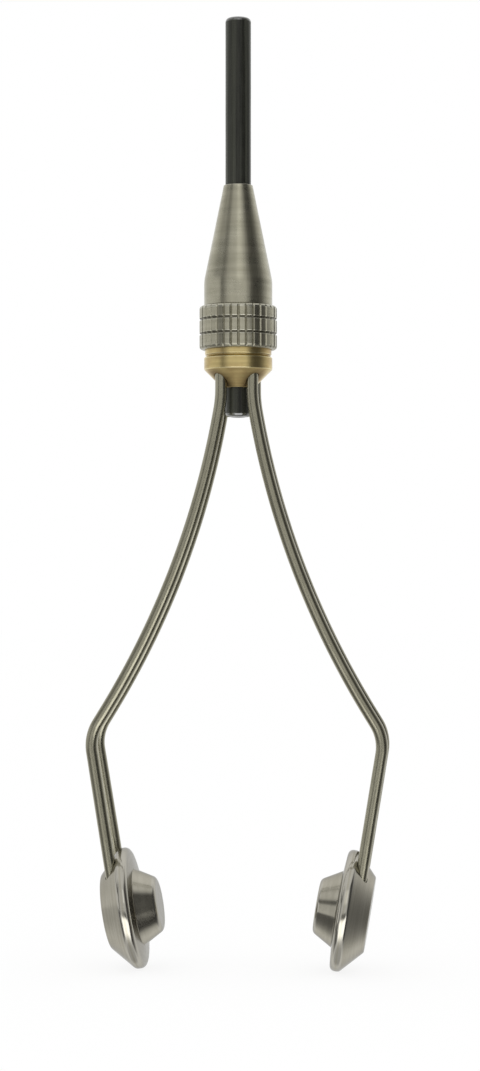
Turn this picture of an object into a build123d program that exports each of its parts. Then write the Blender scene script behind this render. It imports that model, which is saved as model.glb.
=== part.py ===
from build123d import *
from math import cos, radians, sin
import os

# Bobbin holder for fly tying, in millimetres.
# +Z runs up the thread tube and X runs across the two legs. The origin is on the tube's axis,
# level with the lower edge of the nose cap's grip ring.

# Thread tube
tube_radius = 1.5
tube_bore_radius = 0.65
tube_top = 39.05
tube_drop = 7.9
tube_lip = 0.4
tube_clearance = 0.06

# Turned body, the same bar size for the steel nose and the brass end
body_radius = 4.0

# Nose cap: cone and cylinder
nose_height = 19.35
cone_start = 8.1
cone_blend = 5.0
nose_lip = 0.14
nose_wall = 0.75

# Nose cap: grip ring
ring_step = 0.55
ring_height = 5.15
ring_round = 0.4
groove_count = 2
groove_width = 0.2
groove_depth = 0.17
groove_rise = 0.1
flute_count = 32
flute_depth = 0.16

# Brass end: neck, band and cone, with a screwed spigot inside the nose cap
neck_step = 0.1
neck_height = 0.6
neck_seat = 0.6
neck_groove_width = 0.15
neck_groove_depth = 0.2
band_chamfer = 0.22
band_height = 1.35
mouth_lip = 0.31
spigot_step = 0.8
spigot_height = 5.0
spigot_chamfer = 0.2
thread_clearance = 0.06
socket_gap = 0.1

# Collet: slotted sleeve that the nose cap closes on the tube
collet_clearance = 0.05
collet_grip = 0.03
collet_lip = 0.35
collet_collar = 1.6
collet_headroom = 0.4
chamber_step = 0.1
slot_count = 4
slot_width = 0.4

# Spring wires, two to each leg
wire_radius = 0.7
wire_root_angle = 45.67
wire_splay = 1.27
wire_wall = 0.22
wire_hole_clearance = 0.13
wire_hole_roof = 0.3
wire_end_gap = 0.1
wire_straight_run = 0.244
elbow_radius = 13.5
elbow_angle = 9.77
bow_radius = 99.8
bow_angle = 21.83
shoulder_run = 1.53
knee_radius = 4.97
knee_angle = 40.87
shin_length = 19.524

# Spool discs: rim, coned back drilled for the wires, and coned hub
disc_rim_radius = 7.1
disc_rim_width = 1.1
disc_rim_round = 0.6
disc_back_radius = 4.4
disc_back_depth = 2.5
disc_back_round = 0.3
hub_base_radius = 4.5
hub_face_radius = 3.1
hub_face_rise = 0.25
hub_height = 2.45
hub_round = 0.7
wire_setback = 1.414
wire_past_axis = 0.6
disc_hole_clearance = 0.06

# Sizes that follow from the ones above
base_bore_radius = tube_radius + tube_clearance
ring_radius = body_radius + ring_step
nose_tip_radius = base_bore_radius + nose_lip
cone_slope = (body_radius - nose_tip_radius) / (nose_height - cone_start)
neck_radius = body_radius - neck_step
spigot_radius = neck_radius - spigot_step
spigot_top = neck_seat + spigot_height
band_top = -(neck_height + neck_groove_width)
band_bottom = band_top - band_height - band_chamfer
mouth_radius = base_bore_radius + mouth_lip
base_bottom = band_bottom - (body_radius - mouth_radius)
chamber_radius = spigot_radius - chamber_step
collet_bore_radius = tube_radius + collet_grip
wire_hole_radius = wire_radius + wire_hole_clearance
wire_circle_radius = base_bore_radius + wire_wall + wire_hole_radius
wire_root_x = wire_circle_radius * cos(radians(wire_root_angle))
wire_root_y = wire_circle_radius * sin(radians(wire_root_angle))
wire_hole_top = band_top - wire_hole_roof
wire_top = wire_hole_top - wire_end_gap
elbow_top = base_bottom - wire_straight_run
shin_lean = knee_angle - elbow_angle - bow_angle


def cone_height(radius):
    """Height at which the outside of the nose cone has this radius."""
    return cone_start + (body_radius - radius) / cone_slope


def leg_path(side, depth):
    """Centre line of one spring wire, from its root in the brass to its end in the disc."""
    splay = radians(wire_splay)
    leg_plane = Plane(
        origin=(0, depth * wire_root_y, 0),
        x_dir=(1, 0, 0),
        z_dir=(0, -cos(splay), -depth * sin(splay)),
    )
    with BuildLine(leg_plane) as path:
        root = Line((side * wire_root_x, wire_top), (side * wire_root_x, elbow_top))
        elbow = JernArc(root @ 1, root % 1, elbow_radius, side * elbow_angle)
        bow = JernArc(elbow @ 1, elbow % 1, bow_radius, side * bow_angle)
        shoulder = Line(bow @ 1, bow @ 1 + bow % 1 * shoulder_run)
        knee = JernArc(shoulder @ 1, shoulder % 1, knee_radius, -side * knee_angle)
        Line(knee @ 1, knee @ 1 + knee % 1 * shin_length)
    return path.wires()[0]


def leg_wire(side, depth):
    """One spring wire, round bar carried along its centre line."""
    path = leg_path(side, depth)
    with BuildPart() as wire:
        with BuildSketch(Plane(origin=path @ 0, z_dir=path % 0)):
            Circle(wire_radius)
        sweep(path=path)
    return wire.part


def spool_disc(side):
    """One turned disc, square to the lower end of its leg, with a blind hole for each wire."""
    paths = [leg_path(side, depth) for depth in (-1, 1)]
    lean = radians(shin_lean)
    inward = Vector(-side * cos(lean), 0, sin(lean))
    between_ends = (paths[0] @ 1 + paths[1] @ 1) / 2
    shin_direction = Vector(-side * sin(lean), 0, -cos(lean))
    centre = between_ends - shin_direction * wire_past_axis + inward * wire_setback
    half_rim = disc_rim_width / 2
    back = -half_rim - disc_back_depth
    hub_base = half_rim + hub_face_rise
    hub_face = hub_base + hub_height
    with BuildPart() as disc:
        with BuildSketch(Plane(origin=centre, x_dir=inward, z_dir=(0, -1, 0))):
            with BuildLine():
                Polyline(
                    (back, 0),
                    (back, disc_back_radius),
                    (-half_rim, disc_rim_radius),
                    (half_rim, disc_rim_radius),
                    (hub_base, hub_base_radius),
                    (hub_face, hub_face_radius),
                    (hub_face, 0),
                    close=True,
                )
            make_face()
        revolve(axis=Axis(centre, inward))
        disc_axis = Axis(centre, inward)
        circles = disc.edges().filter_by(GeomType.CIRCLE).sort_by(disc_axis)
        fillet(circles[0], radius=disc_back_round)
        circles = disc.edges().filter_by(GeomType.CIRCLE).sort_by(disc_axis)
        fillet(circles[-1], radius=hub_round)
        rims = disc.edges().filter_by(GeomType.CIRCLE).sort_by(SortBy.RADIUS)[-2:]
        fillet(rims, radius=disc_rim_round)
        for path in paths:
            with BuildSketch(Plane(origin=path @ 1 + path % 1 * wire_end_gap, z_dir=path % 1 * -1)):
                Circle(wire_radius + disc_hole_clearance)
            extrude(amount=disc_rim_radius, mode=Mode.SUBTRACT)
    return disc.part


os.makedirs("parts", exist_ok=True)

# Ceramic tube with both lips rounded inside and out
with BuildPart() as thread_tube:
    with BuildSketch(Plane.XY.offset(-tube_drop)):
        Circle(tube_radius)
        Circle(tube_bore_radius, mode=Mode.SUBTRACT)
    extrude(amount=tube_drop + tube_top)
    fillet(thread_tube.edges().filter_by(GeomType.CIRCLE), radius=tube_lip)
thread_tube.part.label = "thread_tube"
export_step(thread_tube.part, "parts/thread_tube.step")

# Steel nose cap: cone, cylinder and grip ring outside; socket, thread bore and closing taper inside
with BuildPart() as nose_cap:
    with BuildSketch(Plane.XZ):
        with BuildLine():
            Polyline(
                (base_bore_radius, nose_height),
                (nose_tip_radius, nose_height),
                (body_radius, cone_start),
                (body_radius, ring_height),
                (ring_radius, ring_height),
                (ring_radius, 0),
                (neck_radius + thread_clearance, 0),
                (neck_radius + thread_clearance, neck_seat + socket_gap),
                (spigot_radius + thread_clearance, neck_seat + socket_gap),
                (spigot_radius + thread_clearance, spigot_top + collet_headroom),
                (chamber_radius, spigot_top + collet_headroom),
                (chamber_radius, cone_height(chamber_radius + nose_wall)),
                (base_bore_radius, cone_height(base_bore_radius + nose_wall)),
                close=True,
            )
        make_face()
    revolve(axis=Axis.Z)
    outer_edges = nose_cap.edges().filter_by(GeomType.CIRCLE)
    fillet(outer_edges.filter_by_position(Axis.Z, cone_start, cone_start), radius=cone_blend)
    ring_edges = nose_cap.edges().filter_by(GeomType.CIRCLE).sort_by(SortBy.RADIUS)[-2:]
    fillet(ring_edges, radius=ring_round)
    with BuildSketch(Plane.XZ):
        for groove in range(groove_count):
            groove_height = groove_rise + ring_height * (groove + 1) / (groove_count + 1)
            with Locations((ring_radius, groove_height)):
                Rectangle(2 * groove_depth, groove_width)
    revolve(axis=Axis.Z, mode=Mode.SUBTRACT)
    flute_side = flute_depth * 2**0.5
    with BuildSketch(Plane.XY):
        with PolarLocations(ring_radius, flute_count, start_angle=180 / flute_count):
            Rectangle(flute_side, flute_side, rotation=45)
    extrude(amount=ring_height, mode=Mode.SUBTRACT)
nose_cap.part.label = "nose_cap"
export_step(nose_cap.part, "parts/nose_cap.step")

# Collet: a collar on the brass spigot, and slotted jaws that follow the taper inside the nose
jaw_radius = chamber_radius - collet_clearance
jaw_tip_radius = collet_bore_radius + collet_lip
jaw_offset = collet_clearance + nose_wall
with BuildPart() as collet:
    with BuildSketch(Plane.XZ):
        with BuildLine():
            Polyline(
                (collet_bore_radius, spigot_top),
                (jaw_radius, spigot_top),
                (jaw_radius, cone_height(jaw_radius + jaw_offset)),
                (jaw_tip_radius, cone_height(jaw_tip_radius + jaw_offset)),
                (collet_bore_radius, cone_height(jaw_tip_radius + jaw_offset)),
                close=True,
            )
        make_face()
    revolve(axis=Axis.Z)
    with BuildSketch(Plane.XY.offset(spigot_top + collet_collar)):
        with PolarLocations(body_radius / 2, slot_count):
            Rectangle(body_radius, slot_width)
    extrude(amount=nose_height, mode=Mode.SUBTRACT)
collet.part.label = "collet"
export_step(collet.part, "parts/collet.step")

# Brass end: spigot and neck under the nose cap, then the band and the cone drilled for four wires
with BuildPart() as wire_base:
    with BuildSketch(Plane.XZ):
        with BuildLine():
            Polyline(
                (base_bore_radius, spigot_top),
                (spigot_radius - spigot_chamfer, spigot_top),
                (spigot_radius, spigot_top - spigot_chamfer),
                (spigot_radius, neck_seat),
                (neck_radius, neck_seat),
                (neck_radius, -neck_height),
                (neck_radius - neck_groove_depth, -neck_height),
                (neck_radius - neck_groove_depth, band_top),
                (body_radius - band_chamfer, band_top),
                (body_radius, band_top - band_chamfer),
                (body_radius, band_bottom),
                (mouth_radius, base_bottom),
                (base_bore_radius, base_bottom),
                close=True,
            )
        make_face()
    revolve(axis=Axis.Z)
    for side in (-1, 1):
        for depth in (-1, 1):
            path = leg_path(side, depth)
            with BuildSketch(Plane(origin=path @ 0 - path % 0 * wire_end_gap, z_dir=path % 0)):
                Circle(wire_hole_radius)
            extrude(amount=wire_hole_top - elbow_top, mode=Mode.SUBTRACT)
wire_base.part.label = "wire_base"
export_step(wire_base.part, "parts/wire_base.step")

# Legs: a front and a rear wire on each side, with a disc across their lower ends
for side, side_name in ((-1, "left"), (1, "right")):
    for depth, depth_name in ((-1, "front"), (1, "rear")):
        wire_name = f"{side_name}_{depth_name}_wire"
        wire = leg_wire(side, depth)
        wire.label = wire_name
        export_step(wire, f"parts/{wire_name}.step")
    disc_name = f"{side_name}_spool_disc"
    disc = spool_disc(side)
    disc.label = disc_name
    export_step(disc, f"parts/{disc_name}.step")
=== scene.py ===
# %% [markdown]
# # A bobbin holder for fly tying
# A fly tyer's bobbin holder carries a spool of thread between two sprung legs and leads the thread
# up through a smooth ceramic tube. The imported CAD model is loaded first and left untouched: it says
# where each part is and which body it moves with. Everything below is laid over those parts in the
# same frame, so no piece has to be fitted by eye.

import bpy
import numpy as np
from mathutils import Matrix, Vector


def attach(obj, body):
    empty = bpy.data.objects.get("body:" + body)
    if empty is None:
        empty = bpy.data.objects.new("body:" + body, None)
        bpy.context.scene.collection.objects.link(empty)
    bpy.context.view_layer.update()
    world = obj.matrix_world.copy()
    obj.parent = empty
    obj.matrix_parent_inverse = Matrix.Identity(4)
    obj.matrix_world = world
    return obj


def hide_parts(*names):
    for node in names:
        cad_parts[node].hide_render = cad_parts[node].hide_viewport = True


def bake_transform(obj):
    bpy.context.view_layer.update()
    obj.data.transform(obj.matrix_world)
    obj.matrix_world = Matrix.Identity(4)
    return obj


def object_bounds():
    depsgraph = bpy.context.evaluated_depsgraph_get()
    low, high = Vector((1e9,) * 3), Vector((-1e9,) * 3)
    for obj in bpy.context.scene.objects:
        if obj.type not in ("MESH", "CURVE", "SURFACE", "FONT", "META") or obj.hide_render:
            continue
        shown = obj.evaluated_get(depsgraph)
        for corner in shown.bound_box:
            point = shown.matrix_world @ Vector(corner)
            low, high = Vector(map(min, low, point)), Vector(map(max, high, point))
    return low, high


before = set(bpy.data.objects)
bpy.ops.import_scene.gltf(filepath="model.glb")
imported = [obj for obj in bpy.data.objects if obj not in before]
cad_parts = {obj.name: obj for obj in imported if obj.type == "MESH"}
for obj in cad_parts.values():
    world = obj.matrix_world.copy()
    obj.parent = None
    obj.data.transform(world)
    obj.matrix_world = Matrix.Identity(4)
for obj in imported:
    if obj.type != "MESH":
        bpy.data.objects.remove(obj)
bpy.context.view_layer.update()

MM = 0.001

# %% [markdown]
# ## Camera
# The picture is taken almost square on, from about 29 cm, level with the bow of the legs and a few
# degrees to the right, which is why more of the left hub shows than of the right one. On an upright
# frame Blender reads the sensor's width along the height, so the lens follows from three lengths:
# the sensor, the distance and the height of the view.

# %% Camera
camera_distance = 288.0
camera_turn, camera_tilt = np.radians(5.2), np.radians(-0.8)
view_height = 125.6
view_centre = np.array([0.21, 0.0, -21.77])


def direction_of(turn, tilt):
    """Unit vector at this turn to the right of straight ahead of the tool, and this tilt upwards."""
    return np.array([np.sin(turn) * np.cos(tilt), -np.cos(turn) * np.cos(tilt), np.sin(tilt)])


to_camera = direction_of(camera_turn, camera_tilt)

camera_data = bpy.data.cameras.new("camera")
camera_data.sensor_width = 36.0
camera_data.lens = camera_data.sensor_width * camera_distance / view_height
camera_data.clip_start = 0.01
camera = bpy.data.objects.new("camera", camera_data)
camera.location = (view_centre + camera_distance * to_camera) * MM
camera.rotation_euler = (np.pi / 2 - camera_tilt, 0.0, camera_turn)
bpy.context.scene.collection.objects.link(camera)
bpy.context.scene.camera = camera
print(f"lens {camera_data.lens:.1f} mm at {camera_distance:.0f} mm")

# %% [markdown]
# ## Profiles for the lathe
# All but the wires of this tool are turned on a lathe, so one profile spun round an axis gives the
# whole piece. Real corners are never quite sharp, and it is the small rounding that catches the light,
# so each corner of a profile is replaced by an arc. A Bevel modifier could do that too, but arcs
# worked out here keep the exact radii, and they can be marked as edges for the finishes to use.

# %% Rounded profile
ARC_STEPS = 6
EDGE_SUPPORT, SUPPORT_SHARE = 0.08, 0.25
BLEND_RADIUS = 1.0


def unit(vectors):
    """Each vector divided by its length."""
    return vectors / np.linalg.norm(vectors, axis=-1, keepdims=True)


def cross(first, second):
    """The z part of the cross product of plane vectors."""
    return first[..., 0] * second[..., 1] - first[..., 1] * second[..., 0]


def rounded(corners, closed=True):
    """Profile as rows of (radius, height, edge), from a table of corners.

    A corner is (radius, height, rounding, steps of the straight run after it). Its arc touches both
    sides at rounding / tan(half the corner's angle) and turns about a centre on the bisector. Runs get
    a point close to each end, which keeps them flat in the shading. Edge is 1 on an outward rounding,
    -1 on an inward one and 0 elsewhere, also on a rounding so wide that it is a blend. An open profile
    keeps its two end points.
    """
    table = np.array(corners, float)
    point, rounding, steps = table[:, :2], table[:, 2], table[:, 3].astype(int)
    following = np.roll(point, -1, axis=0)
    back, ahead = unit(np.roll(point, 1, axis=0) - point), unit(following - point)
    half = np.arccos((back * ahead).sum(axis=1)) / 2
    reach = (rounding / np.tan(half))[:, None]
    centre = point + unit(back + ahead) * (rounding / np.sin(half))[:, None]
    first, last = point + back * reach, point + ahead * reach
    swing = (np.pi - 2 * half)[:, None, None]
    share = np.linspace(0, 1, ARC_STEPS + 1)[:, None]
    arc = np.sin((1 - share) * swing) * (first - centre)[:, None]
    arc = (arc + np.sin(share * swing) * (last - centre)[:, None]) / np.sin(swing) + centre[:, None]
    outward = np.sign(cross(ahead, back) * cross(point, following).sum())
    edge = np.where(rounding < BLEND_RADIUS, outward, 0.0)
    rows = []
    for k, count in enumerate(steps):
        bend = arc[k] if closed or 0 < k < len(table) - 1 else point[k : k + 1]
        rows.append(np.column_stack([bend, np.full(len(bend), edge[k] if len(bend) > 1 else 0.0)]))
        if closed or k < len(table) - 1:
            run_end = first[(k + 1) % len(table)]
            near = min(SUPPORT_SHARE, EDGE_SUPPORT / np.linalg.norm(run_end - last[k]))
            inner = np.sort(np.r_[near, np.linspace(0, 1, count + 1)[1:-1], 1 - near])[:, None]
            rows.append(np.pad(last[k] + inner * (run_end - last[k]), ((0, 0), (0, 1))))
    return np.concatenate(rows)


def lathe(profile, angles):
    """Surface of revolution: x = radius cos(angle), y = radius sin(angle), z = height."""
    radius, height = profile[:, :1], profile[:, 1:2]
    turned = np.broadcast_arrays(radius * np.cos(angles), radius * np.sin(angles), height)
    return np.stack(turned, axis=-1)


def even_angles(count):
    """Angles of evenly spaced columns round a full turn."""
    return np.linspace(0, 2 * np.pi, count, endpoint=False)


print("lathe ready,", ARC_STEPS, "steps to a rounding")

# %% [markdown]
# ## From grid to mesh
# A grid of points becomes quads by joining each point to its neighbours. Columns always close round
# the piece. Rows close too on a piece with a bore, whose profile is a loop, and a solid piece gets one
# flat face on each end. Two things are stored for the finishes: the place in the bar stock that each
# point was cut from, so that tool marks run round the piece however it is tilted, and the edge value.

# %% Grid to mesh
SHARP_ANGLE = np.radians(32)


def corners_of(grid):
    """The four corner values of every quad of a grid, in order round the quad."""
    return np.stack([grid[:-1, :-1], grid[1:, :-1], grid[1:, 1:], grid[:-1, 1:]], axis=2)


def mark(obj, name, values):
    """Stores one number or one vector for each vertex as an attribute."""
    vector = values.ndim == 2
    layer = obj.data.attributes.new(name, "FLOAT_VECTOR" if vector else "FLOAT", "POINT")
    layer.data.foreach_set("vector" if vector else "value", values.astype(np.float32).ravel())


def grid_piece(name, points, closed=True):
    """Object from a grid of points in millimetres, with faces outwards.

    Quad (i, j) joins points (i, j), (i + 1, j), (i + 1, j + 1) and (i, j + 1). The sum of the
    tetrahedra from the origin to the quads is the volume, and its sign says whether to turn them round.
    The UV map runs along the profile in millimetres and round the piece from 0 to 1.
    """
    rows, columns = points.shape[:2]
    index = np.arange(rows * columns).reshape(rows, columns)
    line = points[:, 0]
    if closed:
        index, line = np.vstack([index, index[:1]]), np.vstack([line, line[:1]])
    index = np.hstack([index, index[:, :1]])
    along = np.r_[0, np.cumsum(np.linalg.norm(np.diff(line, axis=0), axis=1))]
    uv = np.stack(np.meshgrid(along, np.linspace(0, 1, columns + 1), indexing="ij"), axis=-1)
    quads, uvs = corners_of(index).reshape(-1, 4), corners_of(uv).reshape(-1, 4, 2)
    flat = points.reshape(-1, 3)
    a, b, c, d = flat[quads].transpose(1, 0, 2)
    inside_out = (a * np.cross(b, c) + a * np.cross(c, d)).sum() < 0
    caps = np.empty((0, columns), int) if closed else np.stack([index[0, :-1], index[-1, -2::-1]])
    cap_uvs = np.zeros((caps.size, 2))
    if inside_out:
        quads, uvs, caps = quads[:, ::-1], uvs[:, ::-1], caps[:, ::-1]
    loops = np.r_[quads.ravel(), caps.ravel()].astype(np.int32)
    starts = np.r_[np.arange(len(quads)) * 4, quads.size + np.arange(len(caps)) * columns]
    mesh = bpy.data.meshes.new(name)
    mesh.vertices.add(len(flat))
    mesh.vertices.foreach_set("co", (flat * MM).astype(np.float32).ravel())
    mesh.loops.add(len(loops))
    mesh.loops.foreach_set("vertex_index", loops)
    mesh.polygons.add(len(starts))
    mesh.polygons.foreach_set("loop_start", starts.astype(np.int32))
    mesh.update(calc_edges=True)
    layer = mesh.uv_layers.new(name="turned")
    layer.data.foreach_set("uv", np.vstack([uvs.reshape(-1, 2), cap_uvs]).astype(np.float32).ravel())
    obj = bpy.data.objects.new(name, mesh)
    bpy.context.scene.collection.objects.link(obj)
    return obj


def places(obj):
    """Every vertex of a piece, in millimetres."""
    place = np.empty(len(obj.data.vertices) * 3, np.float32)
    obj.data.vertices.foreach_get("co", place)
    return place.reshape(-1, 3) / MM


def drill(obj, cutters):
    """Takes the cutters' shapes out of a piece, and then drops the cutters."""
    for cutter in cutters:
        cut = obj.modifiers.new("drill", "BOOLEAN")
        cut.operation, cut.solver, cut.object = "DIFFERENCE", "EXACT", cutter
    drilled = obj.evaluated_get(bpy.context.evaluated_depsgraph_get())
    whole, obj.data = obj.data, bpy.data.meshes.new_from_object(drilled)
    obj.modifiers.clear()
    bpy.data.meshes.remove(whole)
    obj.data.name = obj.name
    for cutter in cutters:
        bpy.data.objects.remove(cutter)


def finish_piece(obj, body, nodes):
    """Smooth shading that breaks at true corners, then the piece's body, and its CAD nodes are hidden."""
    obj.data.shade_smooth()
    obj.data.set_sharp_from_angle(angle=SHARP_ANGLE)
    if body:
        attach(obj, body)
    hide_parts(*nodes)
    print(obj.name, len(obj.data.vertices), "vertices")


# %% [markdown]
# ## Thread tube
# The tube is black ceramic, 3 mm across, polished so that thread doesn't fray. Both lips are rounded
# inside and out. It is a loop profile on the lathe: outside, lip, bore and lip again.

# %% Thread tube
TUBE_COLUMNS = 96
tube_radius, tube_bore = 1.5, 0.65
tube_bottom, tube_top, tube_lip = -7.9, 39.05, 0.4
tube_profile = rounded([
    (tube_radius, tube_bottom, tube_lip, 24),
    (tube_radius, tube_top, tube_lip, 1),
    (tube_bore, tube_top, tube_lip, 12),
    (tube_bore, tube_bottom, tube_lip, 1),
])
tube = grid_piece("ceramic_tube", lathe(tube_profile, even_angles(TUBE_COLUMNS)))
mark(tube, "stock", places(tube))
mark(tube, "edge", np.repeat(tube_profile[:, 2], TUBE_COLUMNS))
finish_piece(tube, "tube", ["thread_tube"])

# %% [markdown]
# ## Nose cap
# The steel nose cap is one turned piece: a long cone that flows into a short cylinder, and a grip
# ring. Two grooves run round the ring, and a cutter has then planed narrow V flutes along it. The
# flutes could be cut with a Boolean, but a lathe surface can simply take the smaller of two radii at
# each point: the profile's, and the flutes' at that angle. A hair of slope keeps points apart where a
# flute crosses a groove's wall, because faces of no area spoil a mesh. Columns are set on the flutes'
# edges and floors, so that the cuts stay crisp.

# %% Nose cap
body_radius, ring_radius = 4.0, 4.55
nose_height, cone_start, cone_blend = 19.35, 8.1, 5.0
nose_tip, nose_bore = 1.70, 1.56
ring_height, ring_round = 5.15, 0.4
groove_half, groove_floor, groove_round, groove_shoulder = 0.1, 4.38, 0.04, 0.1
groove_rise, groove_shares = 0.1, np.array([2 / 3, 1 / 3])
groove_middles = groove_rise + ring_height * groove_shares
flute_count, flute_depth, flute_slope = 32, 0.16, 0.01
flute_share = np.array([-0.32, -0.205, -0.18, -0.165, -0.03, 0.03, 0.165, 0.18, 0.205, 0.32])
cone_slope = (body_radius - nose_tip) / (nose_height - cone_start)
chamber_radius, nose_wall = 3.0, 0.75
socket_radius, socket_top, nut_radius, nut_top = 3.96, 0.7, 3.16, 6.0


def cone_height(radius):
    """Height at which the outside of the nose cone has this radius."""
    return cone_start + (body_radius - radius) / cone_slope


groove_corners = [
    (radius, middle + offset * groove_half, rounding, 1)
    for middle in groove_middles
    for radius, offset, rounding in (
        (ring_radius, 1, groove_shoulder),
        (groove_floor, 1, groove_round),
        (groove_floor, -1, groove_round),
        (ring_radius, -1, groove_shoulder),
    )
]
nose_profile = rounded([
    (nose_bore, nose_height, 0.04, 1),
    (nose_tip, nose_height, 0.05, 12),
    (body_radius, cone_start, cone_blend, 3),
    (body_radius, ring_height, 0.03, 1),
    (ring_radius, ring_height, ring_round, 1),
    *groove_corners,
    (ring_radius, 0.0, ring_round, 1),
    (socket_radius, 0.0, 0.05, 1),
    (socket_radius, socket_top, 0.04, 1),
    (nut_radius, socket_top, 0.04, 2),
    (nut_radius, nut_top, 0.04, 1),
    (chamber_radius, nut_top, 0.04, 2),
    (chamber_radius, cone_height(chamber_radius + nose_wall), 0.1, 4),
    (nose_bore, cone_height(nose_bore + nose_wall), 0.1, 2),
])
flute_columns = np.arange(flute_count)[:, None] + 0.5 + flute_share
nose_angles = flute_columns.ravel() * 2 * np.pi / flute_count
flute_offset = np.tile(flute_share, flute_count) * 2 * np.pi / flute_count * ring_radius
flute_cut = np.clip(flute_depth - np.abs(flute_offset), 0, None)

on_ring = (nose_profile[:, 0] > body_radius) & (nose_profile[:, 1] <= ring_height)
full_radius = np.repeat(nose_profile[:, :1], len(nose_angles), axis=1)
flute_floor = ring_radius - flute_cut + flute_slope * (full_radius - ring_radius)
nose_radius = np.where(on_ring[:, None], np.minimum(full_radius, flute_floor), full_radius)
nose_points = lathe(nose_profile, nose_angles)
nose_points[..., :2] *= (nose_radius / full_radius)[..., None]
nose = grid_piece("turned_nose", nose_points)
mark(nose, "stock", places(nose))

# %% [markdown]
# The ring's edge value follows its cuts. A groove gets painted shade over its whole width, less where a
# flute opens it. The floors of the flutes get some painted shade too, and the foot of the ring is darkened
# the same way, which damps the bright reflection on its lower rounding.

# %% Edge value of the nose cap
# Painted shade on the floors of the flutes and on the foot of the ring.
flute_shade, foot_shade = 0.6, 0.5
from_groove = np.abs(nose_profile[:, 1, None] - groove_middles).min(axis=1)
in_groove = on_ring & (from_groove < groove_half + groove_round)
row_edge = np.where(in_groove, -1.0, nose_profile[:, 2])
nose_edge = np.repeat(row_edge[:, None], len(nose_angles), axis=1)
cut_share = np.where(on_ring[:, None], flute_cut / flute_depth, 0.0)
nose_edge = np.where(nose_edge < 0, nose_edge * (1 - cut_share), nose_edge)
nose_edge -= flute_shade * np.clip(2 * cut_share - 1, 0, 1) * (1 + nose_edge)
nose_edge[on_ring & (nose_profile[:, 1] < ring_round)] = -foot_shade
mark(nose, "edge", nose_edge.ravel())
finish_piece(nose, "nose", ["nose_cap"])

# %% [markdown]
# ## Spring wires
# Each leg is two spring wires side by side. A wire runs straight out of the brass, bows outwards,
# turns back at the knee and runs straight into its disc. Its direction is the easy thing to state:
# it is constant on a straight run and changes evenly on an arc, so the direction is a broken line
# over the length, and a running sum of small steps along it gives the centre line.

# %% Wire centre lines
wire_radius = 0.7
wire_circle, wire_root_angle, wire_splay = 2.61, np.radians(45.67), np.radians(1.27)
wire_root_x, wire_root_y = wire_circle * np.cos(wire_root_angle), wire_circle * np.sin(wire_root_angle)
wire_top, elbow_top, base_bottom = -1.15, -4.694, -4.45
elbow, bow, knee = 9.77, 21.83, 40.87
elbow_radius, bow_radius, knee_radius = 13.5, 99.8, 4.97
calf_length, shin_length = 1.53, 19.524
wire_rows, end_chamfer, end_share = 330, 0.1, 0.84
WIRE_COLUMNS = 28
shin_heading = elbow + bow - knee
wire_bends = np.array([0.0, 0.0, elbow, elbow + bow, elbow + bow, shin_heading, shin_heading])
wire_runs = [
    wire_top - elbow_top,
    elbow_radius * np.radians(elbow),
    bow_radius * np.radians(bow),
    calf_length,
    knee_radius * np.radians(knee),
    shin_length,
]
wire_stations = np.r_[0, np.cumsum(wire_runs)]
wire_length = wire_stations[-1]


def wire_line(side, depth, lengths):
    """Points and directions of a wire's centre line at these lengths.

    With a heading h from straight down, each small step adds sin h outwards and cos h down, in a
    plane that leans by the splay, so that the front and rear wires part towards their discs.
    """
    heading = np.radians(np.interp(lengths, wire_stations, wire_bends))
    between = np.radians(np.interp((lengths[1:] + lengths[:-1]) / 2, wire_stations, wire_bends))
    step = np.diff(lengths)
    out = side * (wire_root_x + np.r_[0, np.cumsum(step * np.sin(between))])
    up = wire_top - np.r_[0, np.cumsum(step * np.cos(between))]
    lean = np.array([-depth * np.sin(wire_splay), np.cos(wire_splay)])
    line = np.column_stack([out, depth * wire_root_y + up * lean[0], up * lean[1]])
    down = -np.cos(heading)
    return line, np.column_stack([side * np.sin(heading), down * lean[0], down * lean[1]])


def round_bar(line, direction, across, radius, angles):
    """A circle carried along a line: line + radius (cos(angle) n + sin(angle) b).

    b is the direction that the whole line is square to, and n is square to both it and the line.
    """
    normal = np.cross(direction, across)
    ring = np.cos(angles)[:, None] * normal[:, None] + np.sin(angles)[:, None] * across
    return line[:, None] + radius[:, None, None] * ring


wire_lengths = np.r_[0, np.linspace(end_chamfer, wire_length - end_chamfer, wire_rows), wire_length]
wire_girth = wire_radius * np.r_[end_share, np.ones(wire_rows), end_share]
wire_angles = even_angles(WIRE_COLUMNS)
leg_sides = {"left": -1, "right": 1}
wire_depths = {"front": -1, "rear": 1}
print(f"each wire is {wire_length:.2f} mm long")

# %% [markdown]
# When a leg is sprung open, the wire bends along its length and doesn't turn about a pin. So each
# wire is built as a piece of its own, a circle carried along its centre line, and is attached to no body.

# %% Spring wires
wires = []
for side_name, side in leg_sides.items():
    for depth_name, depth in wire_depths.items():
        line, direction = wire_line(side, depth, wire_lengths)
        across = np.array([0.0, np.cos(wire_splay), depth * np.sin(wire_splay)])
        points = round_bar(line, direction, across, wire_girth, wire_angles)
        wire = grid_piece(f"{side_name}_{depth_name}_spring", points, closed=False)
        bar = lathe(np.column_stack([wire_girth, wire_lengths]), wire_angles)
        mark(wire, "stock", bar.reshape(-1, 3))
        finish_piece(wire, None, [f"{side_name}_{depth_name}_wire"])
        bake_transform(wire)
        wires.append(wire)

# %% [markdown]
# ## Brass end
# The brass end is turned from the same 8 mm bar as the nose: a neck, a fine groove, a band and a cone
# that is drilled for the four wires. Inside the nose cap it carries on as a screwed spigot, which only
# shows when the cap is unscrewed. The thread is the lathe surface with a triangle wave taken off its
# radius, whose phase climbs one pitch in a turn.

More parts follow.
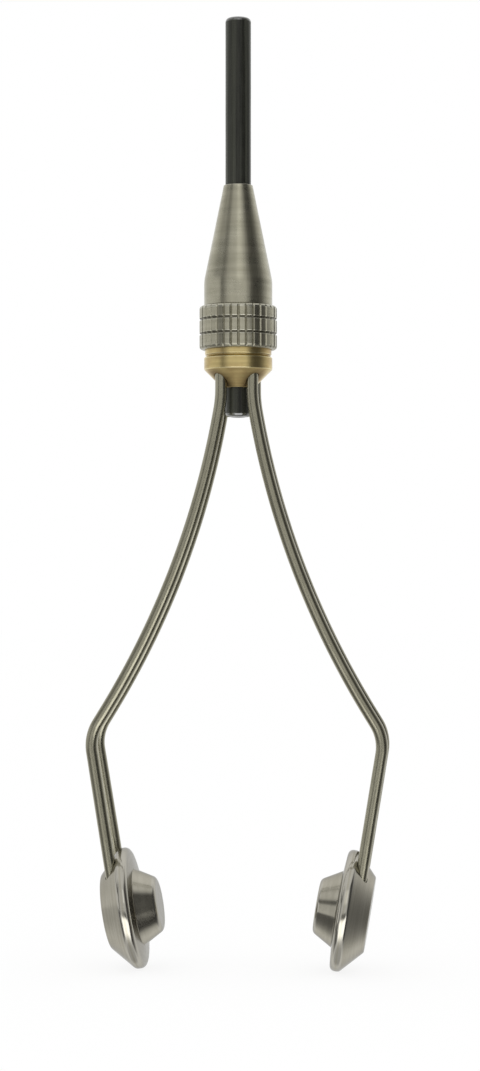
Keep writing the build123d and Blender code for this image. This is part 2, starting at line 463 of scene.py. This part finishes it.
# %% Brass end
spigot_radius, spigot_top, spigot_chamfer, neck_seat = 3.1, 5.6, 0.2, 0.6
neck_radius, neck_bottom, neck_groove = 3.9, -0.6, 3.7
band_top, band_bottom, band_chamfer = -0.75, -2.32, 0.22
mouth_radius, base_bore = 1.87, 1.56
thread_pitch, thread_depth, thread_start, thread_fade, thread_skin = 0.5, 0.27, 0.1, 0.3, 0.05
BRASS_COLUMNS = 144

brass_profile = rounded([
    (base_bore, spigot_top, 0.05, 1),
    (spigot_radius - spigot_chamfer, spigot_top, 0.03, 1),
    (spigot_radius, spigot_top - spigot_chamfer, 0.03, 84),
    (spigot_radius, neck_seat, 0.03, 1),
    (neck_radius, neck_seat, 0.05, 2),
    (neck_radius, neck_bottom, 0.03, 1),
    (neck_groove, neck_bottom, 0.02, 1),
    (neck_groove, band_top, 0.02, 1),
    (body_radius - band_chamfer, band_top, 0.04, 1),
    (body_radius, band_top - band_chamfer, 0.05, 4),
    (body_radius, band_bottom, 0.06, 8),
    (mouth_radius, base_bottom, 0.04, 1),
    (base_bore, base_bottom, 0.04, 2),
])
brass_angles = even_angles(BRASS_COLUMNS)
brass_points = lathe(brass_profile, brass_angles)
height = brass_profile[:, 1:2]
wave = np.abs(2 * ((height / thread_pitch - brass_angles / (2 * np.pi)) % 1) - 1)
fade = np.clip((height - neck_seat - thread_start) / thread_fade, 0, 1)
fade = fade * np.clip((spigot_top - spigot_chamfer - height) / thread_fade, 0, 1)
fade = fade * (brass_profile[:, :1] > spigot_radius - thread_skin)
thread_cut = thread_depth * fade * wave
brass_points[..., :2] *= (1 - thread_cut / brass_profile[:, :1])[..., None]
# The thread's valleys get painted shade: their edge value falls with the depth of the cut.
brass_edge = np.repeat(brass_profile[:, 2:], BRASS_COLUMNS, axis=1) - thread_cut / thread_depth
brass = grid_piece("brass_end", brass_points)
mark(brass, "edge", brass_edge.ravel())

# %% [markdown]
# The wire holes are drilled with a Boolean, because a slanting hole in a cone has no simple grid.
# The cone is darkened round the roots of the wires with painted shade, which stands in for the wires'
# shadow and reflection there; the edge value of the cone is lowered for it.

# %% Wire holes
BIT_COLUMNS = 48
wire_hole_radius, hole_gap = 0.76, 0.1
# Reach and strength of the painted shade round the wire roots.
root_reach, root_shade = 2.1, 1.0


def drill_bit(start, direction, length, radius):
    """A plain cylinder as a drill leaves it, from its blind end outwards."""
    side_way = unit(np.cross(direction, [1.0, 0.0, 0.0]))
    line = np.array(start) + np.outer([0.0, length], direction)
    way = np.tile(direction, (2, 1))
    bit = round_bar(line, way, side_way, np.full(2, radius), even_angles(BIT_COLUMNS))
    return grid_piece("drill", bit, closed=False)


hole_depth = wire_top - elbow_top + hole_gap
root_bits = []
for side in leg_sides.values():
    for depth in wire_depths.values():
        line, direction = wire_line(side, depth, wire_lengths)
        blind_end = line[0] - direction[0] * hole_gap
        root_bits.append(drill_bit(blind_end, direction[0], hole_depth, wire_hole_radius))
drill(brass, root_bits)

brass_places = places(brass)
mark(brass, "stock", brass_places)
edge_layer = brass.data.attributes["edge"].data
drilled_edge = np.empty(len(brass_places), np.float32)
edge_layer.foreach_get("value", drilled_edge)
from_root = np.hypot(*(np.abs(brass_places[:, :2]) - [wire_root_x, wire_root_y]).T)
near_root = np.clip((root_reach - from_root) / (root_reach - wire_hole_radius), 0, 1)
drilled_edge -= root_shade * near_root * (brass_places[:, 2] < band_bottom)
edge_layer.foreach_set("value", drilled_edge)
finish_piece(brass, "base", ["wire_base"])

# %% [markdown]
# ## Spool discs
# Each leg ends in a turned steel disc: a thin polished rim, a coned back that is drilled for the two
# wires, and on the inside a coned hub that runs in the end of the thread spool. It is a solid, so its
# profile is open and starts and ends just off the axis. It is turned upright and then laid into
# the leg's direction, square to the straight end of the wires.

# %% Spool discs
rim_radius, rim_half, rim_round = 7.1, 0.55, 0.6
back_radius, back_depth = 4.4, 2.5
hub_base, hub_face, hub_rise, hub_height, hub_round = 4.5, 3.1, 0.25, 2.45, 0.7
wire_setback, wire_past_axis, disc_hole_radius = 1.414, 0.6, 0.76
disc_corner_shade = 0.2
shin_lean = np.radians(-shin_heading)
AXIS_POINT = 0.02
DISC_COLUMNS = 192

disc_profile = rounded([
    (AXIS_POINT, -rim_half - back_depth, 0.0, 3),
    (back_radius, -rim_half - back_depth, 0.3, 6),
    (rim_radius, -rim_half, rim_round, 1),
    (rim_radius, rim_half, rim_round, 6),
    (hub_base, rim_half + hub_rise, 0.15, 4),
    (hub_face, rim_half + hub_rise + hub_height, hub_round, 3),
    (AXIS_POINT, rim_half + hub_rise + hub_height, 0.0, 1),
], closed=False)
upright_disc = lathe(disc_profile, even_angles(DISC_COLUMNS))

discs = []
for side_name, side in leg_sides.items():
    ends = [wire_line(side, depth, wire_lengths) for depth in wire_depths.values()]
    inward = np.array([-side * np.cos(shin_lean), 0.0, np.sin(shin_lean)])
    shin = np.array([-side * np.sin(shin_lean), 0.0, -np.cos(shin_lean)])
    middle = np.mean([line[-1] for line, way in ends], axis=0)
    centre = middle - shin * wire_past_axis + inward * wire_setback
    axes = np.stack([-shin, np.cross(inward, -shin), inward])
    disc = grid_piece(f"{side_name}_turned_disc", centre + upright_disc @ axes, closed=False)
    # A disc's inside corners get a little painted shade: their edge value goes no lower than this.
    mark(disc, "edge", np.repeat(np.maximum(disc_profile[:, 2], -disc_corner_shade), DISC_COLUMNS))
    drill(disc, [
        drill_bit(line[-1] + way[-1] * hole_gap, -way[-1], rim_radius, disc_hole_radius)
        for line, way in ends
    ])
    mark(disc, "stock", (places(disc) - centre) @ axes.T)
    finish_piece(disc, f"{side_name}_leg", [f"{side_name}_spool_disc"])
    discs.append(disc)

# %% [markdown]
# ## Shared finishes
# Three effects turn up on more than one metal, so each is a shader node group: the fine lines that a
# lathe tool leaves, the smudges and hairlines of handling, and the way edges are polished while
# corners are darkened with painted shade. A group gives out only masks, values and colours; every
# material keeps its own shader. Small helpers add a node and fill its inputs, with a value or a link.

# %% Node helpers
def fill(tree, node, inputs):
    """Sets a node's inputs: each is a value, or another node's output to link."""
    for key, value in inputs.items():
        if isinstance(value, bpy.types.NodeSocket):
            tree.links.new(value, node.inputs[key])
        else:
            node.inputs[key].default_value = value


def add(tree, kind, inputs=None, **settings):
    """Adds a node with these settings and fills its inputs."""
    node = tree.nodes.new(kind)
    for key, value in settings.items():
        setattr(node, key, value)
    fill(tree, node, inputs or {})
    return node


def maths(tree, operation, *values):
    """The output of a Math node."""
    return add(tree, "ShaderNodeMath", dict(enumerate(values)), operation=operation).outputs[0]


def vectors(tree, operation, inputs, output="Vector"):
    """The output of a Vector Math node."""
    return add(tree, "ShaderNodeVectorMath", inputs, operation=operation).outputs[output]


def ranged(tree, value, low, high, to_low, to_high, smooth=False):
    """A value mapped from one range to another and held at its ends."""
    inputs = {"Value": value, "From Min": low, "From Max": high, "To Min": to_low, "To Max": to_high}
    kind = "SMOOTHSTEP" if smooth else "LINEAR"
    return add(tree, "ShaderNodeMapRange", inputs, interpolation_type=kind).outputs["Result"]


def mixed(tree, factor, first, second):
    """Two colours mixed by a factor."""
    inputs = {"Factor": factor, 6: first, 7: second}
    return add(tree, "ShaderNodeMix", inputs, data_type="RGBA").outputs[2]


def noise(tree, vector, scale, detail, roughness=0.55):
    """A noise value from 0 to 1 at a vector."""
    inputs = {"Vector": vector, "Scale": scale, "Detail": detail, "Roughness": roughness}
    return add(tree, "ShaderNodeTexNoise", inputs).outputs[0]


def bumped(tree, height, depth):
    """A normal from a height, which stands for this many millimetres."""
    inputs = {"Height": height, "Strength": 1.0, "Distance": depth * MM}
    return add(tree, "ShaderNodeBump", inputs).outputs[0]


def stored(tree, name, output):
    """An attribute that was stored with the piece."""
    return add(tree, "ShaderNodeAttribute", attribute_name=name).outputs[output]


def new_group(name, inputs, outputs):
    """A shader node group with these sockets, and its input and output nodes."""
    group = bpy.data.node_groups.new(name, "ShaderNodeTree")
    for label, kind in inputs.items():
        group.interface.new_socket(label, in_out="INPUT", socket_type=f"NodeSocket{kind}")
    for label, kind in outputs.items():
        group.interface.new_socket(label, in_out="OUTPUT", socket_type=f"NodeSocket{kind}")
    return group, group.nodes.new("NodeGroupInput").outputs, group.nodes.new("NodeGroupOutput").inputs


def give(group, sockets, results):
    """Links results to a group's outputs by name."""
    for label, result in results.items():
        group.links.new(result, sockets[label])


def shared(tree, group, **inputs):
    """The outputs of a shared group that is used in a tree."""
    return add(tree, "ShaderNodeGroup", inputs, node_tree=group).outputs


# %% [markdown]
# A lathe tool moves along the profile while the bar turns, so its lines change fast along the
# profile and hardly at all round the axis. Radius and height together give a number that grows along
# every face of a turned piece, flat ends included, and noise that is squeezed along it gives the lines.

# %% Tool lines
RADIUS_SHARE, AROUND_SHARE, BROAD_SHARE = 0.8, 0.3, (0.4, 0.4, 0.28)
tool_lines, given, result = new_group(
    "tool lines", {"Stock": "Vector", "Pitch": "Float"}, {"Height": "Float", "Tone": "Float"}
)
flat_place = vectors(tool_lines, "MULTIPLY", {0: given["Stock"], 1: (1.0, 1.0, 0.0)})
radius = vectors(tool_lines, "LENGTH", {0: flat_place}, "Value")
stock_z = add(tool_lines, "ShaderNodeSeparateXYZ", {0: given["Stock"]}).outputs["Z"]
travel = maths(tool_lines, "MULTIPLY_ADD", radius, RADIUS_SHARE, stock_z)
line_number = maths(tool_lines, "DIVIDE", travel, given["Pitch"])
fine_line = add(tool_lines, "ShaderNodeCombineXYZ", {"Z": line_number}).outputs[0]
round_about = vectors(tool_lines, "SCALE", {0: flat_place, "Scale": AROUND_SHARE})
fine_place = vectors(tool_lines, "ADD", {0: fine_line, 1: round_about})
broad_place = vectors(tool_lines, "MULTIPLY", {0: fine_place, 1: BROAD_SHARE})
give(tool_lines, result, {
    "Height": noise(tool_lines, fine_place, 1.0, 3.0, 0.6),
    "Tone": noise(tool_lines, broad_place, 1.0, 2.0),
})
print("group:", tool_lines.name)

# %% [markdown]
# Hands leave faint smudges of a few millimetres, and being laid down leaves hairlines. Both are
# noise on the bar-stock place: wide and soft for the smudges, and stretched thin for the hairlines.

# %% Handling marks
smudge_range, hair_range = (0.38, 0.66), (0.66, 0.74)
hair_lie = {"Rotation": (0.6, 0.3, 0.9), "Scale": (7.0, 0.5, 1.4)}
handling, given, result = new_group(
    "handling marks", {"Stock": "Vector", "Size": "Float"}, {"Smudge": "Float", "Hairline": "Float"}
)
share = maths(handling, "DIVIDE", 1.0, given["Size"])
smudge_place = vectors(handling, "SCALE", {0: given["Stock"], "Scale": share})
hair_place = add(handling, "ShaderNodeMapping", {"Vector": given["Stock"], **hair_lie}).outputs[0]
give(handling, result, {
    "Smudge": ranged(handling, noise(handling, smudge_place, 1.0, 4.0), *smudge_range, 0.0, 1.0, True),
    "Hairline": ranged(handling, noise(handling, hair_place, 1.0, 1.0), *hair_range, 0.0, 1.0),
})
print("group:", handling.name)

# %% [markdown]
# Edges rub bright. Inside corners are rougher, and painted shade darkens their colour. The edge value
# stored with each piece says which is which, so no guess from the geometry is needed.

# %% Edge finish
# How far the colour of an inside corner goes towards the painted shade colour.
SHADE_COVER = 0.75
edge_finish, given, result = new_group(
    "edge finish",
    {"Edge": "Float", "Color": "Color", "Polished": "Color", "Grime": "Color"},
    {"Color": "Color", "Worn": "Float", "Dull": "Float"},
)
worn = ranged(edge_finish, given["Edge"], 0.1, 1.0, 0.0, 1.0)
dull = ranged(edge_finish, given["Edge"], -0.1, -1.0, 0.0, 1.0)
rubbed = mixed(edge_finish, worn, given["Color"], given["Polished"])
give(edge_finish, result, {
    "Color": mixed(edge_finish, maths(edge_finish, "MULTIPLY", dull, SHADE_COVER), rubbed, given["Grime"]),
    "Worn": worn,
    "Dull": dull,
})
print("group:", edge_finish.name)

# %% [markdown]
# ## Turned metal
# Steel, brass and the discs' steel are one material with different numbers. The lines of the tool
# stretch each reflection along the profile, which is why a turned cone shows long bands of light, so
# the shader is anisotropic along the UV map's first direction. Tool lines also tint the metal a
# little, smudges stain it and make it duller, and edges are brighter.

# %% Turned metal
def new_material(name):
    """A material with its tree and its Principled shader."""
    material = bpy.data.materials.new(name)
    material.use_nodes = True
    return material, material.node_tree, material.node_tree.nodes["Principled BSDF"]


def dress(material, *pieces):
    """Gives pieces this material, in place of any that they have."""
    for piece in pieces:
        piece.data.materials.clear()
        piece.data.materials.append(material)


smudge_size, smudge_rough, worn_rough, dull_rough = 2.6, 0.06, -0.15, 0.2
hair_depth, line_stretch = -0.25, 0.5


def turned_metal(
    name, light, dark, stain, stained, polished, painted_shade, glancing, roughness, pitch, line_depth
):
    """Lathe-turned metal: two tones along the tool lines, polished edges, smudges, and dull corners
    darkened with painted shade.
    """
    material, tree, shader = new_material(name)
    stock = stored(tree, "stock", "Vector")
    lines = shared(tree, tool_lines, Stock=stock, Pitch=pitch)
    marks = shared(tree, handling, Stock=stock, Size=smudge_size)
    tone = ranged(tree, lines["Tone"], 0.3, 0.7, 0.0, 1.0)
    metal = mixed(tree, tone, (*dark, 1.0), (*light, 1.0))
    metal = mixed(tree, maths(tree, "MULTIPLY", marks["Smudge"], stained), metal, (*stain, 1.0))
    edges = shared(
        tree,
        edge_finish,
        Edge=stored(tree, "edge", "Fac"),
        Color=metal,
        Polished=(*polished, 1.0),
        Grime=(*painted_shade, 1.0),
    )
    rough = maths(tree, "MULTIPLY_ADD", marks["Smudge"], smudge_rough, roughness)
    rough = maths(tree, "MULTIPLY_ADD", edges["Worn"], worn_rough * roughness, rough)
    rough = maths(tree, "MULTIPLY_ADD", edges["Dull"], dull_rough, rough)
    height = maths(tree, "MULTIPLY_ADD", marks["Hairline"], hair_depth, lines["Height"])
    tangent = add(tree, "ShaderNodeTangent", direction_type="UV_MAP", uv_map="turned")
    fill(tree, shader, {
        "Base Color": edges["Color"],
        "Metallic": 1.0,
        "Roughness": rough,
        "Specular Tint": (*glancing, 1.0),
        "Anisotropic": line_stretch,
        "Normal": bumped(tree, height, line_depth),
        "Tangent": tangent.outputs[0],
    })
    return material


# The darkest colour of each finish is painted shade for inside corners, grooves and wire roots.
nose_steel = turned_metal(
    "turned nose steel",
    light=(0.442, 0.424, 0.332),
    dark=(0.352, 0.338, 0.259),
    stain=(0.33, 0.31, 0.225),
    stained=0.3,
    polished=(0.47, 0.455, 0.375),
    painted_shade=(0.055, 0.050, 0.036),
    glancing=(1.0, 1.0, 1.0),
    roughness=0.26,
    pitch=0.11,
    line_depth=0.0026,
)
end_brass = turned_metal(
    "turned brass",
    light=(0.63, 0.507, 0.232),
    dark=(0.46, 0.364, 0.162),
    stain=(0.36, 0.23, 0.105),
    stained=0.5,
    polished=(0.74, 0.65, 0.38),
    painted_shade=(0.09, 0.055, 0.028),
    glancing=(1.0, 1.0, 1.0),
    roughness=0.29,
    pitch=0.13,
    line_depth=0.0045,
)
disc_steel = turned_metal(
    "turned disc steel",
    light=(0.47, 0.448, 0.378),
    dark=(0.395, 0.375, 0.312),
    stain=(0.36, 0.34, 0.27),
    stained=0.3,
    polished=(0.47, 0.452, 0.395),
    painted_shade=(0.08, 0.07, 0.05),
    glancing=(0.6, 0.6, 0.6),
    roughness=0.15,
    pitch=0.10,
    line_depth=0.0022,
)
dress(nose_steel, nose)
dress(end_brass, brass)
dress(disc_steel, *discs)
print("turned metals on", nose.name, brass.name, [disc.name for disc in discs])

# %% [markdown]
# ## Spring wire
# Spring wire is drawn through a die, so its lines run along it. Noise that is squeezed across the
# bar and drawn out along it gives them, on the place in the straight bar that the wire was bent from.

# %% Spring wire
die_stretch, die_depth, wire_hair_depth = (5.0, 5.0, 0.2), 0.0008, -0.5
die_share, smudge_share, wire_smudge_size = 0.65, 0.35, 2.2
wire_light, wire_dark = (0.355, 0.34, 0.258, 1.0), (0.27, 0.257, 0.19, 1.0)
wire_rough, wire_dark_rough = 0.22, 0.08

wire_steel, tree, shader = new_material("drawn spring wire")
stock = stored(tree, "stock", "Vector")
die_lines = noise(tree, vectors(tree, "MULTIPLY", {0: stock, 1: die_stretch}), 1.0, 3.0, 0.6)
marks = shared(tree, handling, Stock=stock, Size=wire_smudge_size)
die_tone = ranged(tree, die_lines, 0.35, 0.65, 0.0, die_share)
wire_tone = maths(tree, "MULTIPLY_ADD", marks["Smudge"], smudge_share, die_tone)
wire_height = maths(tree, "MULTIPLY_ADD", marks["Hairline"], wire_hair_depth, die_lines)
fill(tree, shader, {
    "Base Color": mixed(tree, wire_tone, wire_light, wire_dark),
    "Metallic": 1.0,
    "Roughness": maths(tree, "MULTIPLY_ADD", wire_tone, wire_dark_rough, wire_rough),
    "Normal": bumped(tree, wire_height, die_depth),
})
dress(wire_steel, *wires)
print("drawn wire on", len(wires), "wires")

# %% [markdown]
# ## Black ceramic
# The tube is fired ceramic, ground and polished. It is nearly black with a faint warm grain and a few
# pale streaks along it, which also stand in for its soft highlight as a painted highlight, and its gloss
# is broken only by handling. The two lips shine more than the rest, and a clear coat on them alone gives
# that: unlike the reflectance under it, a coat's weight can vary over a piece and still be exported.

# %% Black ceramic
grain_stretch, grain_share, grain_depth = (5.0, 5.0, 0.5), 0.4, 0.0004
streak_highlight_lie = {"Location": (11.0, 5.0, 3.0), "Scale": (1.3, 1.3, 0.012)}
streak_highlight_range, streak_highlight_share = (0.42, 0.64), 0.8
ceramic_dark, ceramic_pale = (0.004, 0.004, 0.003, 1.0), (0.052, 0.054, 0.042, 1.0)
ceramic_rough, ceramic_smudge_rough, ceramic_lip_rough = 0.24, 0.10, -0.2
ceramic_smudge_size = 3.5

ceramic, tree, shader = new_material("polished black ceramic")
stock = stored(tree, "stock", "Vector")
marks = shared(tree, handling, Stock=stock, Size=ceramic_smudge_size)
grain = noise(tree, vectors(tree, "MULTIPLY", {0: stock, 1: grain_stretch}), 1.0, 3.0)
# Pale streaks along the tube, partly the ceramic's own and partly a painted highlight; they are added to
# the grain.
streak_highlight_place = add(tree, "ShaderNodeMapping", {"Vector": stock, **streak_highlight_lie}).outputs[0]
streak_highlight = ranged(tree, noise(tree, streak_highlight_place, 1.0, 3.0), *streak_highlight_range, 0.0, streak_highlight_share)
grain = maths(tree, "MULTIPLY_ADD", grain, grain_share, streak_highlight)
lip = ranged(tree, stored(tree, "edge", "Fac"), 0.1, 1.0, 0.0, 1.0)
rough = maths(tree, "MULTIPLY_ADD", marks["Smudge"], ceramic_smudge_rough, ceramic_rough)
fill(tree, shader, {
    "Base Color": mixed(tree, grain, ceramic_dark, ceramic_pale),
    "Roughness": maths(tree, "MULTIPLY_ADD", lip, ceramic_lip_rough, rough),
    "IOR": 1.6,
    "Specular IOR Level": 0.15,
    "Coat Weight": lip,
    "Coat IOR": 2.4,
    "Normal": bumped(tree, grain, grain_depth),
})
dress(ceramic, tube)
print("ceramic on", tube.name)

# %% [markdown]
# ## Collet
# The collet inside the nose cap is hidden in every view of the whole tool, so its CAD node stays as it
# is. It still gets a finish, a natural acetal with faint tool lines on the object's own coordinates.

# %% Collet
acetal_pitch, acetal_depth = 0.12, 0.002
acetal_dark, acetal_light = (0.66, 0.64, 0.57, 1.0), (0.76, 0.74, 0.68, 1.0)

acetal, tree, shader = new_material("natural acetal")
place = add(tree, "ShaderNodeTexCoord").outputs["Object"]
stock = vectors(tree, "SCALE", {0: place, "Scale": 1 / MM})
lines = shared(tree, tool_lines, Stock=stock, Pitch=acetal_pitch)
fill(tree, shader, {
    "Base Color": mixed(tree, lines["Tone"], acetal_dark, acetal_light),
    "Roughness": ranged(tree, lines["Height"], 0.0, 1.0, 0.38, 0.52),
    "Normal": bumped(tree, lines["Height"], acetal_depth),
})
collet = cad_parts["collet"]
dress(acetal, collet)
print("acetal on", collet.name)

# %% [markdown]
# ## Floor
# The tool stands on its two discs on a plain white floor. To the camera the floor glows a little, so
# that it runs into the white backdrop and still keeps the discs' soft contact shadow.

# %% Floor
floor_size, fibre_scale, floor_glow = 3000.0, 900.0, 0.85
floor_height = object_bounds()[0][2]
corner = np.array([[-1, -1], [1, -1], [1, 1], [-1, 1]]) * floor_size / 2 * MM
floor_mesh = bpy.data.meshes.new("floor")
floor_points = np.column_stack([corner, np.full(len(corner), floor_height)])
floor_mesh.from_pydata(floor_points.tolist(), [], [range(len(corner))])
floor = bpy.data.objects.new("floor", floor_mesh)
bpy.context.scene.collection.objects.link(floor)
floor.visible_glossy = False
floor.visible_shadow = False
paper, tree, shader = new_material("white paper")
fibre = noise(tree, add(tree, "ShaderNodeTexCoord").outputs["Object"], fibre_scale, 3.0)
fill(tree, shader, {
    "Base Color": mixed(tree, fibre, (0.985, 0.985, 0.985, 1.0), (1.0, 1.0, 1.0, 1.0)),
    "Roughness": 0.9,
    "Specular IOR Level": 0.0,
})
glow = add(tree, "ShaderNodeEmission", {"Color": (1.0, 1.0, 1.0, 1.0), "Strength": 1.0}).outputs[0]
ray = add(tree, "ShaderNodeLightPath").outputs
seen = maths(tree, "MULTIPLY", ray["Is Camera Ray"], floor_glow)
paper_look = add(tree, "ShaderNodeMixShader", {0: seen, 1: shader.outputs[0], 2: glow}).outputs[0]
tree.links.new(paper_look, tree.nodes["Material Output"].inputs["Surface"])
dress(paper, floor)
print(f"floor at {floor_height / MM:.2f} mm")

# %% [markdown]
# ## Light
# Metal shows what it reflects. In the picture a white backdrop wraps round behind the tool, a wide
# pale screen stands in front of it, and between the two there is a dim gap on each side. Three panes
# lighten parts of the left gap, a bright table lies below the screen, and the camera leaves a dim
# patch where it stands. So the world is plain white for the camera and for soft light, and for
# mirror-like rays it is that room. Its tone depends on the turn from the camera and on the height,
# which is the sine of the angle above level. One soft lamp stands by the camera.

# %% World
world = bpy.data.worlds.new("studio")
bpy.context.scene.world = world
world.use_nodes = True
room_tree = world.node_tree
ray = add(room_tree, "ShaderNodeLightPath").outputs
direction = add(room_tree, "ShaderNodeTexCoord").outputs["Generated"]
ahead_way, across_way = direction_of(camera_turn, 0.0), direction_of(camera_turn + np.pi / 2, 0.0)
ahead = vectors(room_tree, "DOT_PRODUCT", {0: direction, 1: ahead_way}, "Value")
across = vectors(room_tree, "DOT_PRODUCT", {0: direction, 1: across_way}, "Value")
height = add(room_tree, "ShaderNodeSeparateXYZ", {0: direction}).outputs["Z"]
turn = maths(room_tree, "ARCTAN2", across, ahead)


def band(value, rise_from, rise_to, fall_from, fall_to):
    """1 between two smooth edges and 0 outside them."""
    rise = ranged(room_tree, value, rise_from, rise_to, 0.0, 1.0, True)
    return maths(room_tree, "MULTIPLY", rise, ranged(room_tree, value, fall_from, fall_to, 1.0, 0.0, True))


def patch(heights, turns):
    """1 inside a soft-edged patch of the room, given by its heights and its turns in degrees."""
    return maths(room_tree, "MULTIPLY", band(height, *heights), band(turn, *np.radians(turns)))


def lifted(level, share, target):
    """A level moved towards a target by a share."""
    return maths(room_tree, "MULTIPLY_ADD", share, maths(room_tree, "SUBTRACT", target, level), level)


# %% [markdown]
# The room is put together from its largest parts to its smallest, each over the ones before it. A
# part has a glow, and two heights or turns between which it fades in. Where there are four, it fades
# out again between the last two.

# %% Room
left_gap, right_gap, gap_change = 0.15, 0.07, 0.2
screen_glow, screen_turns = 0.74, [-62.0, -28.0, 22.0, 46.0]
ceiling_glow, ceiling_heights = 0.85, [0.66, 0.84]
backdrop_glow, backdrop_turns = 1.0, [72.0, 138.0]
table_glow, table_heights, table_turns = 2.4, [-0.85, -0.62, -0.26, -0.10], [-40.0, -26.0, 36.0, 46.0]
below_glow, below_heights = 0.56, [-0.94, -0.80]
panes = {
    "left pane": (0.85, [-0.15, -0.07, 0.28, 0.37], [-150.0, -128.0, -66.0, -57.0]),
    "high pane": (0.85, [0.46, 0.53, 0.72, 0.86], [-110.0, -90.0, -68.0, -58.0]),
    "low pane": (0.75, [-0.42, -0.36, -0.22, -0.16], [-60.0, -54.0, -44.0, -36.0]),
    "camera": (0.2, [-0.20, -0.13, 0.0, 0.04], [-20.0, -10.0, 12.0, 24.0]),
}

either_turn = maths(room_tree, "ABSOLUTE", turn)
either_height = maths(room_tree, "ABSOLUTE", height)
ceiling = ranged(room_tree, either_height, *ceiling_heights, 0.0, 1.0, True)
backdrop = ranged(room_tree, either_turn, *np.radians(backdrop_turns), 0.0, 1.0, True)
below = ranged(room_tree, height, *below_heights, 1.0, 0.0, True)

room = ranged(room_tree, across, -gap_change, gap_change, left_gap, right_gap)
room = lifted(room, band(turn, *np.radians(screen_turns)), screen_glow)
room = lifted(room, ceiling, ceiling_glow)
room = lifted(room, backdrop, backdrop_glow)
room = lifted(room, patch(table_heights, table_turns), table_glow)
room = lifted(room, below, below_glow)
for pane_glow, pane_heights, pane_turns in panes.values():
    room = lifted(room, patch(pane_heights, pane_turns), pane_glow)
plain_white = 1.0
fill(room_tree, room_tree.nodes["Background"], {
    "Color": (1.0, 1.0, 1.0, 1.0),
    "Strength": lifted(plain_white, ray["Is Glossy Ray"], room),
})
print("world: backdrop, screen, ceiling, table, two dim gaps and", ", ".join(panes))

# %% Lamp
lamp_width, lamp_height, lamp_distance, lamp_power = 160.0, 240.0, 500.0, 0.06
lamp_turn, lamp_tilt = camera_turn + np.radians(4.0), np.radians(28.0)
lamp_data = bpy.data.lights.new("key", "AREA")
lamp_data.shape, lamp_data.size, lamp_data.size_y = "RECTANGLE", lamp_width * MM, lamp_height * MM
lamp_data.energy = lamp_power
lamp = bpy.data.objects.new("key", lamp_data)
lamp.location = (view_centre + direction_of(lamp_turn, lamp_tilt) * lamp_distance) * MM
lamp.rotation_euler = (np.pi / 2 - lamp_tilt, 0.0, lamp_turn)
bpy.context.scene.collection.objects.link(lamp)
bpy.context.scene.view_settings.view_transform = "Standard"
print("one soft lamp")
